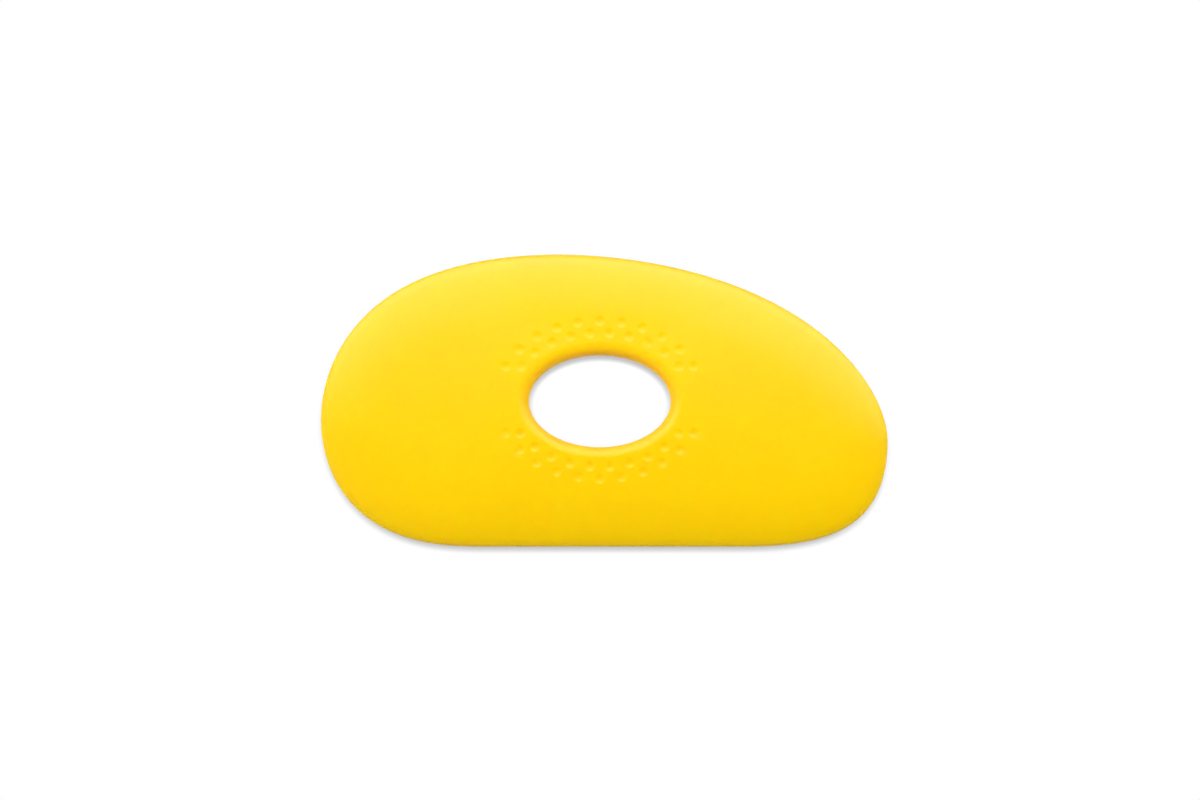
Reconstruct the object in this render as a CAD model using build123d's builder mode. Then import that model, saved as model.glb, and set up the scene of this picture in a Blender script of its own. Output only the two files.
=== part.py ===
"""A small pottery rib: one flexible moulded blade with a long straight edge, two
rounded ends, a lens-shaped section that thins towards the rim, and an oval finger
hole with a rolled rim. Millimetres, lying flat on Z = 0 with its long side along X."""

import os

from build123d import *

# Overall sizes of the blade
rib_length = 69.85
rib_width = 36.2
rib_thickness = 4.5

# The blade thins over this distance, from its flat faces out to the working edge
taper_reach = 7.5
taper_steps = 8

# Oval finger hole, placed from the middle of the blade, and its rolled rim
hole_length = 17.5
hole_width = 11.5
hole_shift_x = -0.55
hole_shift_y = -0.12
hole_rim_radius = 1.45

# Grip dimples: rows above and below the finger hole, measured out from its edge
dimple_ball_radius = 1.6
dimple_depth = 0.12
dimple_first_row = 2.5
dimple_row_pitch = 1.5
dimple_row_counts = (10, 11)
dimple_row_starts = (30, 25)

# Where the outline turns, as shares of the length or width from the middle
straight_start_share = -0.193
straight_end_share = 0.225
right_tip_share = -0.144
crest_share = -0.083
left_tip_share = -0.063

# Each quarter of the outline is one curve, from its level end to its upright end. These
# are the control points, as shares of the quarter's own length and width.
lower_right_shares = ((0, 1), (0.28, 1), (0.785, 1), (0.965, 0.76), (1, 0.205), (1, 0))
upper_right_shares = ((0, 1), (0.305, 1), (0.615, 0.86), (0.81, 0.683), (1, 0.317), (1, 0))
upper_left_shares = ((0, 1), (0.278, 1), (0.685, 0.93), (0.868, 0.68), (1, 0.344), (1, 0))
lower_left_shares = ((0, 1), (0.333, 1), (0.641, 1), (0.979, 0.737), (1, 0.185), (1, 0))


def quarter(level_end, upright_end, shares):
    """One quarter of the outline, between its level end and its upright end."""
    reach_x = upright_end[0] - level_end[0]
    reach_y = level_end[1] - upright_end[1]
    Bezier(*[(level_end[0] + x * reach_x, upright_end[1] + y * reach_y) for x, y in shares])


def outline(inset):
    """The blade's outline, drawn in by the inset on every side."""
    half_length = rib_length / 2 - inset
    half_width = rib_width / 2 - inset
    straight_start = (straight_start_share * rib_length, -half_width)
    straight_end = (straight_end_share * rib_length, -half_width)
    right_tip = (half_length, right_tip_share * rib_width)
    crest = (crest_share * rib_length, half_width)
    left_tip = (-half_length, left_tip_share * rib_width)
    Line(straight_start, straight_end)
    quarter(straight_end, right_tip, lower_right_shares)
    quarter(crest, right_tip, upper_right_shares)
    quarter(crest, left_tip, upper_left_shares)
    quarter(straight_start, left_tip, lower_left_shares)


def dimple_places(height):
    """Middles of the balls that press the dimples, in rows that follow the hole."""
    places = []
    for row, (count, start) in enumerate(zip(dimple_row_counts, dimple_row_starts)):
        offset = dimple_first_row + row * dimple_row_pitch
        reach_x = hole_length / 2 + offset
        reach_y = hole_width / 2 + offset
        for side in (start, start + 180):
            middle = (hole_shift_x, hole_shift_y, height)
            arc = EllipticalCenterArc(middle, reach_x, reach_y, side, arc_size=180 - 2 * start)
            places += [arc @ (step / (count - 1)) for step in range(count)]
    return places


os.makedirs("parts", exist_ok=True)

# The taper in section, from the working edge to the flat face: a quarter of an ellipse
taper = EllipticalCenterArc((0, 0), taper_reach, rib_thickness / 2, 0, arc_size=90)

with BuildPart() as rib:
    # Blade, as outlines stacked through the thickness and evenly spaced along the taper
    for step in range(-taper_steps, taper_steps + 1):
        place = taper @ (abs(step) / taper_steps)
        rise = place.Y if step > 0 else -place.Y
        with BuildSketch(Plane.XY.offset(rib_thickness / 2 + rise)):
            with BuildLine():
                outline(taper_reach - place.X)
            make_face()
    loft()

    # Finger hole, with both rims rolled
    with BuildSketch(Plane.XY):
        with Locations((hole_shift_x, hole_shift_y)):
            Ellipse(hole_length / 2, hole_width / 2)
    extrude(amount=rib_thickness, mode=Mode.SUBTRACT)
    fillet(rib.edges().filter_by(GeomType.ELLIPSE), radius=hole_rim_radius)

    # Shallow grip dimples on the upper face
    with Locations(*dimple_places(rib_thickness + dimple_ball_radius - dimple_depth)):
        Sphere(dimple_ball_radius, mode=Mode.SUBTRACT)

rib.part.label = "rib"
export_step(rib.part, "parts/rib.step")
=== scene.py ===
"""A small pottery rib of soft yellow polymer, lying flat on a white sheet and seen from
nearly overhead in even studio light. Metres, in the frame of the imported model."""

import math

import bpy
import numpy as np
from mathutils import Euler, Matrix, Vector, noise


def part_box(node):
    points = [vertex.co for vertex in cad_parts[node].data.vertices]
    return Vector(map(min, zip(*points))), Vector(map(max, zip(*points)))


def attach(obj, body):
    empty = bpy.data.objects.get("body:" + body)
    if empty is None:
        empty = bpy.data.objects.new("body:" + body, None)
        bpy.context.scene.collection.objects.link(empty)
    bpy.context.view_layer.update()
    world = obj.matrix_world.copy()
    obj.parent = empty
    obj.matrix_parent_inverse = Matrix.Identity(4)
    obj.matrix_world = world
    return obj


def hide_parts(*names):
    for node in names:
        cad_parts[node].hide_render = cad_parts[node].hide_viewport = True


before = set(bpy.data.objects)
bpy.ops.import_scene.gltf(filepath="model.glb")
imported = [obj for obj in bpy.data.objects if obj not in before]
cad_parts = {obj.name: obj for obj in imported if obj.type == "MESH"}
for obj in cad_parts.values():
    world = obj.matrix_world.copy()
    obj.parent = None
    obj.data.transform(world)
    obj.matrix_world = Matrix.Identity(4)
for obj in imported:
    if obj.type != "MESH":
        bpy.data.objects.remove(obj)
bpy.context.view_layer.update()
rib_low, rib_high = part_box("rib")

mm = 0.001

# The blade's overall sizes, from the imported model
rib_length = rib_high.x - rib_low.x
rib_width = rib_high.y - rib_low.y
rib_thickness = rib_high.z - rib_low.z
middle_height = (rib_low.z + rib_high.z) / 2

# Where the outline turns, as shares of the length or width from the middle
straight_start_share = -0.193
straight_end_share = 0.225
right_tip_share = -0.144
crest_share = -0.083
left_tip_share = -0.063

# Control points of each quarter of the outline, as shares of the quarter's own size
lower_right_shares = ((0, 1), (0.28, 1), (0.785, 1), (0.965, 0.76), (1, 0.205), (1, 0))
upper_right_shares = ((0, 1), (0.305, 1), (0.615, 0.86), (0.81, 0.683), (1, 0.317), (1, 0))
upper_left_shares = ((0, 1), (0.278, 1), (0.685, 0.93), (0.868, 0.68), (1, 0.344), (1, 0))
lower_left_shares = ((0, 1), (0.333, 1), (0.641, 1), (0.979, 0.737), (1, 0.185), (1, 0))

# The blade's section: it thins over the taper, and its upper face is slightly crowned
taper_reach = 7.5 * mm
crown_share = 0.35
# How far in from the working edge the painted edge shade reaches
edge_shade_reach = 1.2 * mm
wave_height = 0.02 * mm
wave_length = 9 * mm
upper_wave_layer, lower_wave_layer = 0, 5

# Oval finger hole and its rolled rim
hole_length = 17.5 * mm
hole_width = 11.5 * mm
hole_middle = Vector((-0.55 * mm, -0.12 * mm))
hole_rim_radius = 1.45 * mm

# Grip dimples: rows above and below the finger hole, measured out from its edge
dimple_ball_radius = 1.6 * mm
dimple_depth = 0.12 * mm
dimple_edge_softness = 0.015 * mm
dimple_first_row = 2.5 * mm
dimple_row_pitch = 1.5 * mm
dimple_row_counts = (10, 11)
dimple_row_starts = (30, 25)
dimple_band_end = 4.6 * mm

# How finely the mesh is divided, round the blade and across it
around_steps = 780
curve_steps = 900
taper_steps = 20
land_steps = 12
band_steps = 27
rolled_steps = 8
wall_steps = 4
underside_steps = 9


def quarter(level_end, upright_end, shares):
    """Points of one quarter of the outline, from its level end to its upright end."""
    along = np.linspace(0, 1, curve_steps)[:, None]
    corner = np.array((level_end[0], upright_end[1]))
    reach = np.array((upright_end[0] - level_end[0], level_end[1] - upright_end[1]))
    degree = len(shares) - 1
    points = 0
    for k, share in enumerate(shares):
        weight = math.comb(degree, k) * along**k * (1 - along) ** (degree - k)
        points = points + weight * (corner + np.array(share) * reach)
    return points


def outline(inset):
    """Points right round the blade's outline, drawn in by the inset on every side."""
    half_length = rib_length / 2 - inset
    half_width = rib_width / 2 - inset
    straight_start = (straight_start_share * rib_length, -half_width)
    straight_end = (straight_end_share * rib_length, -half_width)
    right_tip = (half_length, right_tip_share * rib_width)
    crest = (crest_share * rib_length, half_width)
    left_tip = (-half_length, left_tip_share * rib_width)
    return np.concatenate(
        [
            np.linspace(straight_start, straight_end, curve_steps),
            quarter(straight_end, right_tip, lower_right_shares),
            quarter(crest, right_tip, upper_right_shares)[::-1],
            quarter(crest, left_tip, upper_left_shares),
            quarter(straight_start, left_tip, lower_left_shares)[::-1],
        ]
    )


def even_turns(offset, start, end, count):
    """Angles that space points evenly along the oval at this offset from the hole."""
    fine = np.linspace(start, end, 4 * curve_steps)
    reach_x, reach_y = hole_length / 2 + offset, hole_width / 2 + offset
    speed = np.hypot(reach_x * np.sin(fine), reach_y * np.cos(fine))
    travelled = np.concatenate([[0], np.cumsum(speed[1:] + speed[:-1])])
    return np.interp(np.linspace(0, travelled[-1], count), travelled, fine)


def oval(offset, turns):
    """Points at these angles on the oval at this offset from the hole."""
    x = hole_middle.x + (hole_length / 2 + offset) * np.cos(turns)
    y = hole_middle.y + (hole_width / 2 + offset) * np.sin(turns)
    return np.column_stack([x, y])


def from_hole(points):
    """Directions and distances of points, seen from the middle of the hole."""
    away = points - np.array(hole_middle)
    return np.arctan2(away[:, 1], away[:, 0]), np.hypot(away[:, 0], away[:, 1])


def crossings(points, wanted):
    """Where a closed outline crosses each wanted direction from the hole."""
    found = from_hole(points)[0]
    x = np.interp(wanted, found, points[:, 0], period=2 * math.pi)
    y = np.interp(wanted, found, points[:, 1], period=2 * math.pi)
    return np.column_stack([x, y])


# The mesh's spokes: evenly spaced round the dimple band, straight out from there
spoke_turns = even_turns(dimple_band_end / 2, 0, 2 * math.pi, around_steps + 1)[:-1]
band_edge = oval(dimple_band_end, spoke_turns)
spokes = from_hole(band_edge)[0]
edge_distances = from_hole(crossings(outline(0), spokes))[1]
land_edge = crossings(outline(taper_reach), spokes)
hole_edge = oval(hole_rim_radius, spoke_turns)


def dimple_places():
    """Middles of the dimples, in rows that follow the hole."""
    places = []
    for row, (count, start) in enumerate(zip(dimple_row_counts, dimple_row_starts)):
        offset = dimple_first_row + row * dimple_row_pitch
        turns = even_turns(offset, math.radians(start), math.radians(180 - start), count)
        for side in (0, math.pi):
            places += list(oval(offset, turns + side))
    return places


def dimple_drops(points):
    """How far the dimples press the face down at each point, with softened edges."""
    drops = np.zeros(len(points))
    ball_rise = dimple_ball_radius - dimple_depth
    for place in dimple_places():
        away = np.hypot(*(points - place).T)
        ball = np.sqrt(np.maximum(dimple_ball_radius**2 - away**2, 0)) - ball_rise
        soft = dimple_edge_softness * np.log1p(np.exp(ball / dimple_edge_softness))
        drops = np.maximum(drops, soft)
    return drops


def waves(points, layer):
    """The slight unevenness of a moulded face, from nothing to the wave height."""
    scaled = points / wave_length
    return wave_height * np.array([0.5 + 0.5 * noise.noise((x, y, layer)) for x, y in scaled])


def face_ring(points, upper, fullness=1.0, drop=0.0, rim=0.0, hollow=0.0):
    """One ring on the upper or lower face. Its fullness is its share of the half
    thickness, and rim and hollow say how near it is to the edge and to the hole's wall."""
    height = rib_thickness / 2 * fullness
    if upper:
        outward = from_hole(points)[1] / edge_distances
        height = height * (1 - crown_share * outward**2) - dimple_drops(points)
    layer = upper_wave_layer if upper else lower_wave_layer
    height = height - waves(points, layer) * fullness - drop
    z = middle_height + (height if upper else -height)
    return np.column_stack([points, z]), rim, hollow


def taper(upper):
    """Rings from the working edge in to the flat of the blade."""
    rings = []
    for climb in np.linspace(0, math.pi / 2, taper_steps + 1):
        inset = taper_reach * (1 - math.cos(climb))
        points = crossings(outline(inset), spokes)
        rim = math.exp(-inset / edge_shade_reach)
        rings.append(face_ring(points, upper, math.sin(climb), rim=rim))
    return rings


def rolled_rim(upper):
    """Rings round the hole's rolled rim, from the face to the wall."""
    rings = []
    for bend in np.linspace(0, math.pi / 2, rolled_steps + 1)[1:]:
        points = oval(hole_rim_radius * (1 - math.sin(bend)), spoke_turns)
        drop = hole_rim_radius * (1 - math.cos(bend))
        rings.append(face_ring(points, upper, drop=drop, hollow=math.sin(bend)))
    return rings


def between(start, end, steps):
    """Outlines part way from one to another, without the first."""
    return [start + share * (end - start) for share in np.linspace(0, 1, steps + 1)[1:]]


def blade_rings():
    """Rings from the working edge over the upper face, down the hole and back below."""
    upper = taper(True)
    upper += [face_ring(points, True) for points in between(land_edge, band_edge, land_steps)]
    for offset in np.linspace(dimple_band_end, hole_rim_radius, band_steps + 1)[1:]:
        upper.append(face_ring(oval(offset, spoke_turns), True))
    upper += rolled_rim(True)
    lower = taper(False)
    lower += [face_ring(p, False) for p in between(land_edge, hole_edge, underside_steps)]
    lower += rolled_rim(False)
    wall = [(p, 0.0, 1.0) for p in between(upper[-1][0], lower[-1][0], wall_steps)[:-1]]
    return upper + wall + lower[:0:-1]


def ring_mesh(name, rings):
    """A closed mesh of four-sided faces through rings that come back to the first."""
    count = len(rings)
    faces = []
    for i in range(count):
        here, there = i * around_steps, (i + 1) % count * around_steps
        for j in range(around_steps):
            k = (j + 1) % around_steps
            faces.append((here + j, here + k, there + k, there + j))
    mesh = bpy.data.meshes.new(name)
    mesh.from_pydata(np.concatenate([ring[0] for ring in rings]).tolist(), [], faces)
    mesh.polygons.foreach_set("use_smooth", [True] * len(faces))
    for place, title in enumerate(("rim", "hollow"), start=1):
        values = np.repeat([ring[place] for ring in rings], around_steps)
        mesh.attributes.new(title, "FLOAT", "POINT").data.foreach_set("value", values)
    mesh.update()
    return mesh


class Nodes:
    """Adds shader nodes to one node tree, their inputs either linked or set."""

    def __init__(self, tree):
        self.tree = tree
        tree.nodes.clear()

    def add(self, kind, inputs=None, **settings):
        made = self.tree.nodes.new("ShaderNode" + kind)
        for name, value in settings.items():
            setattr(made, name, value)
        for name, value in (inputs or {}).items():
            if isinstance(value, bpy.types.NodeSocket):
                self.tree.links.new(value, made.inputs[name])
            else:
                made.inputs[name].default_value = value
        return made

    def attribute(self, name):
        return self.add("Attribute", attribute_name=name).outputs["Fac"]

    def noise(self, place, size, detail=2, roughness=0.5):
        """Noise from 0 to 1 whose blotches are about this size."""
        inputs = {"Vector": place, "Scale": 1 / size, "Detail": detail, "Roughness": roughness}
        return self.add("TexNoise", inputs).outputs["Fac"]

    def ramp(self, value, low, high, start=0.0, end=1.0):
        """The value's stretch from low to high, spread over start to end and held there."""
        inputs = {"Value": value, "From Min": low, "From Max": high, "To Min": start, "To Max": end}
        return self.add("MapRange", inputs, clamp=True).outputs["Result"]

    def math(self, operation, first, second):
        return self.add("Math", {0: first, 1: second}, operation=operation).outputs[0]

    def mix(self, share, first, second):
        """Two colours, mixed by a share."""
        inputs = {0: share, 6: first, 7: second}
        return self.add("Mix", inputs, data_type="RGBA").outputs[2]

    def bump(self, height, distance, strength=1.0, normal=None):
        inputs = {"Height": height, "Distance": distance, "Strength": strength}
        if normal:
            inputs["Normal"] = normal
        return self.add("Bump", inputs).outputs["Normal"]


# Looks of the polymer
yellow = (0.98, 0.62, 0.001, 1)
mottled_yellow = (0.97, 0.61, 0.001, 1)
# Painted shade: a deeper, darker yellow towards the working edge
edge_shade_yellow = (0.95, 0.55, 0.001, 1)
# Painted shade: a deeper orange on the hole's rolled rim and wall
hole_shade_yellow = (1, 0.45, 0.001, 1)
edge_shade_depth, hole_shade_depth = 0.15, 0.3
mottle_size = 7 * mm
mottle_range = (0.35, 0.65)
scuff_size = 1.6 * mm
scuff_range = (0.3, 0.7)
satin_low, satin_high = 0.18, 0.25
hollow_dulling = 0.45
grain_size = 0.14 * mm
grain_depth = 0.004 * mm
peel_size = 2.2 * mm
peel_depth = 0.006 * mm
ior = 1.5
specular_level = 0.25
depth_share = 0.5
depth_colour = (1.0, 0.55, 0.1)
light_depth = 2.2 * mm


def polymer():
    """Soft cast polymer: saturated yellow, satin, faintly mottled and finely grained, with painted
    shade: deeper, darker yellows at the working edge and round the hole's rim and wall.
    """
    material = bpy.data.materials.new("rib_polymer")
    material.use_nodes = True
    nodes = Nodes(material.node_tree)
    place = nodes.add("TexCoord").outputs["Object"]
    rim = nodes.attribute("rim")
    hollow = nodes.attribute("hollow")

    mottle = nodes.ramp(nodes.noise(place, mottle_size, detail=3), *mottle_range)
    body = nodes.mix(mottle, yellow, mottled_yellow)
    # Painted shade: the face is mixed towards a deeper, darker yellow near the working edge
    edge_shaded = nodes.mix(nodes.math("MULTIPLY", rim, edge_shade_depth), body, edge_shade_yellow)
    # Painted shade: the hole's rolled rim and wall are mixed towards a deeper orange
    colour = nodes.mix(nodes.math("MULTIPLY", hollow, hole_shade_depth), edge_shaded, hole_shade_yellow)

    scuffs = nodes.noise(place, scuff_size, detail=4, roughness=0.6)
    satin = nodes.ramp(scuffs, *scuff_range, satin_low, satin_high)
    roughness = nodes.math("ADD", satin, nodes.math("MULTIPLY", hollow, hollow_dulling))

    peel = nodes.bump(nodes.noise(place, peel_size), peel_depth)
    grained = nodes.bump(nodes.noise(place, grain_size, detail=3), grain_depth, normal=peel)

    shader = nodes.add(
        "BsdfPrincipled",
        {
            "Base Color": colour,
            "Roughness": roughness,
            "Normal": grained,
            "IOR": ior,
            "Specular IOR Level": specular_level,
            "Subsurface Weight": depth_share,
            "Subsurface Radius": depth_colour,
            "Subsurface Scale": light_depth,
        },
    )
    nodes.add("OutputMaterial", {"Surface": shader.outputs["BSDF"]})
    return material


# The sheet that the rib lies on. It is seen as plain white with a narrow contact shadow.
floor_size = 3.0
floor_gap = 0.02 * mm
floor_white = (0.82, 0.82, 0.82, 1)
shadow_lean = (0, 0.71, 0.71)
shadow_dark = 0.53

# Its shadow in the hole and outside: the reach, and how open its darkest and white places are
hole_shadow = (1.15 * mm, 0.47, 0.96)
outer_shadow = (2.1 * mm, 0.6, 0.86)

# From one shadow to the other, as distances from the hole's middle in shares of its radius
shadow_change_start, shadow_change_end = 1.1, 1.5


def seen_share(nodes):
    """1 for rays that show a surface to the camera, in a mirror or through glass."""
    path = nodes.add("LightPath").outputs
    shown = nodes.math("MAXIMUM", path["Is Camera Ray"], path["Is Glossy Ray"])
    return nodes.math("MAXIMUM", shown, path["Is Transmission Ray"])


def floor():
    """A plain white sheet that keeps the rib's contact shadow."""
    half = floor_size / 2
    mesh = bpy.data.meshes.new("floor")
    corners = [(-half, -half, 0), (half, -half, 0), (half, half, 0), (-half, half, 0)]
    mesh.from_pydata(corners, [], [(0, 1, 2, 3)])
    sheet = bpy.data.objects.new("floor", mesh)
    sheet.location.z = rib_low.z - floor_gap
    bpy.context.scene.collection.objects.link(sheet)

    material = bpy.data.materials.new("floor_white")
    material.use_nodes = True
    nodes = Nodes(material.node_tree)
    lean = nodes.add("CombineXYZ", dict(zip("XYZ", shadow_lean))).outputs["Vector"]
    place = nodes.add("TexCoord").outputs["Object"]
    away = nodes.add("VectorMath", {0: place, 1: (*hole_middle, 0)}, operation="SUBTRACT").outputs[0]
    axes = (hole_length / 2, hole_width / 2, 1)
    shares = nodes.add("VectorMath", {0: away, 1: axes}, operation="DIVIDE").outputs[0]
    outside = nodes.add("VectorMath", {0: shares}, operation="LENGTH").outputs["Value"]
    change = (outside, shadow_change_start, shadow_change_end)
    reach, open_dark, open_white = [
        nodes.ramp(*change, *ends) for ends in zip(hole_shadow, outer_shadow)
    ]
    sky = nodes.add("AmbientOcclusion", {"Distance": reach, "Normal": lean})
    shade = nodes.ramp(sky.outputs["AO"], open_dark, open_white, shadow_dark, 1)
    shown = nodes.add("Emission", {"Color": (1, 1, 1, 1), "Strength": shade})
    paper = nodes.add("BsdfDiffuse", {"Color": floor_white})
    inputs = {0: seen_share(nodes), 1: paper.outputs[0], 2: shown.outputs[0]}
    nodes.add("OutputMaterial", {"Surface": nodes.add("MixShader", inputs).outputs[0]})
    mesh.materials.append(material)


# The light tent: brighter at both sides, most at the left, and seen as white low down
tent_light = 0.09
tent_side_light = 0.4
tent_left_light = 0.2
tent_white_end = math.sin(math.radians(20))
tent_white_start = math.sin(math.radians(40))

# Lamps: radiance, tilt from overhead towards the curved back, distance, width and height
key_lamp = (4.85, math.radians(18), 0.12, 0.8, 0.05)
fill_lamp = (0.4, math.radians(-50), 0.4, 0.8, 0.2)
sheen_lamp = (8.6, math.radians(46), 0.3, 1.0, 0.42)

# The sheen lamp dies away over this stretch of its height, down to this share of its light
sheen_fall_start, sheen_fall_end, sheen_low_share = 0.72, 0.92, 0.06


def light_tent():
    """World light from all round."""
    world = bpy.data.worlds.new("light_tent")
    world.use_nodes = True
    bpy.context.scene.world = world
    nodes = Nodes(world.node_tree)
    direction = nodes.add("TexCoord").outputs["Generated"]
    axes = nodes.add("SeparateXYZ", {"Vector": direction}).outputs
    sideways = nodes.math("MULTIPLY", axes["X"], axes["X"])
    sides = nodes.ramp(sideways, 0, 1, tent_light, tent_light + tent_side_light)
    tent = nodes.math("SUBTRACT", sides, nodes.math("MULTIPLY", axes["X"], tent_left_light))
    low_down = nodes.ramp(axes["Z"], tent_white_start, tent_white_end)
    white_share = nodes.math("MULTIPLY", seen_share(nodes), low_down)
    strength = nodes.add("Mix", {0: white_share, 2: tent, 3: 1.0}, data_type="FLOAT")
    light = nodes.add("Background", {"Color": (1, 1, 1, 1), "Strength": strength.outputs[0]})
    nodes.add("OutputWorld", {"Surface": light.outputs["Background"]})


def soft_lamp(name, radiance, tilt, distance, width, height):
    """A soft rectangular lamp that faces the rib from its tilt and distance."""
    lamp = bpy.data.lights.new(name, "AREA")
    lamp.shape = "RECTANGLE"
    lamp.size = width
    lamp.size_y = height
    lamp.energy = radiance * math.pi * width * height
    light = bpy.data.objects.new(name, lamp)
    light.location = (0, distance * math.sin(tilt), distance * math.cos(tilt))
    light.rotation_euler = (-tilt, 0, 0)
    light.visible_camera = False
    bpy.context.scene.collection.objects.link(light)
    return light


def fade(lamp):
    """Fades a lamp to nothing at its overhead side and to little at its low side."""
    lamp.use_nodes = True
    nodes = Nodes(lamp.node_tree)
    across = nodes.add("NewGeometry").outputs["Parametric"]
    height = nodes.add("SeparateXYZ", {"Vector": across}).outputs["Y"]
    fall = nodes.ramp(height, sheen_fall_start, sheen_fall_end, 1, sheen_low_share)
    glow = nodes.add("Emission", {"Strength": nodes.math("MULTIPLY", height, fall)})
    nodes.add("OutputLight", {"Surface": glow.outputs["Emission"]})


# The photograph's framing, in its own pixels
photo_width_px = 1200
photo_middle_px = (600, 400)
rib_middle_px = (604.27, 400.23)
rib_length_px = 566.5

# The camera
camera_distance = 0.6
camera_lean = math.radians(5.5)
sensor_width = 36


def camera():
    """Looks down, leaning a little towards the straight edge, framed like the photograph."""
    metres_per_px = rib_length / rib_length_px
    lens = bpy.data.cameras.new("camera")
    lens.sensor_width = sensor_width
    lens.lens = sensor_width * camera_distance / (photo_width_px * metres_per_px)
    seen_from = bpy.data.objects.new("camera", lens)
    right = (photo_middle_px[0] - rib_middle_px[0]) * metres_per_px
    up = (rib_middle_px[1] - photo_middle_px[1]) * metres_per_px
    offset = Vector((right, up, camera_distance))
    offset.rotate(Euler((camera_lean, 0, 0)))
    seen_from.location = (rib_low + rib_high) / 2 + offset
    seen_from.rotation_euler.x = camera_lean
    bpy.context.scene.collection.objects.link(seen_from)
    bpy.context.scene.camera = seen_from


rib = bpy.data.objects.new("rib_blade", ring_mesh("rib_blade", blade_rings()))
rib.data.materials.append(polymer())
bpy.context.scene.collection.objects.link(rib)
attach(rib, "root")
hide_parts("rib")

floor()
light_tent()
soft_lamp("key_lamp", *key_lamp).visible_glossy = False
soft_lamp("fill_lamp", *fill_lamp).visible_glossy = False
sheen = soft_lamp("sheen_lamp", *sheen_lamp)
sheen.visible_diffuse = False
fade(sheen.data)
camera()
bpy.context.scene.view_settings.view_transform = "Standard"
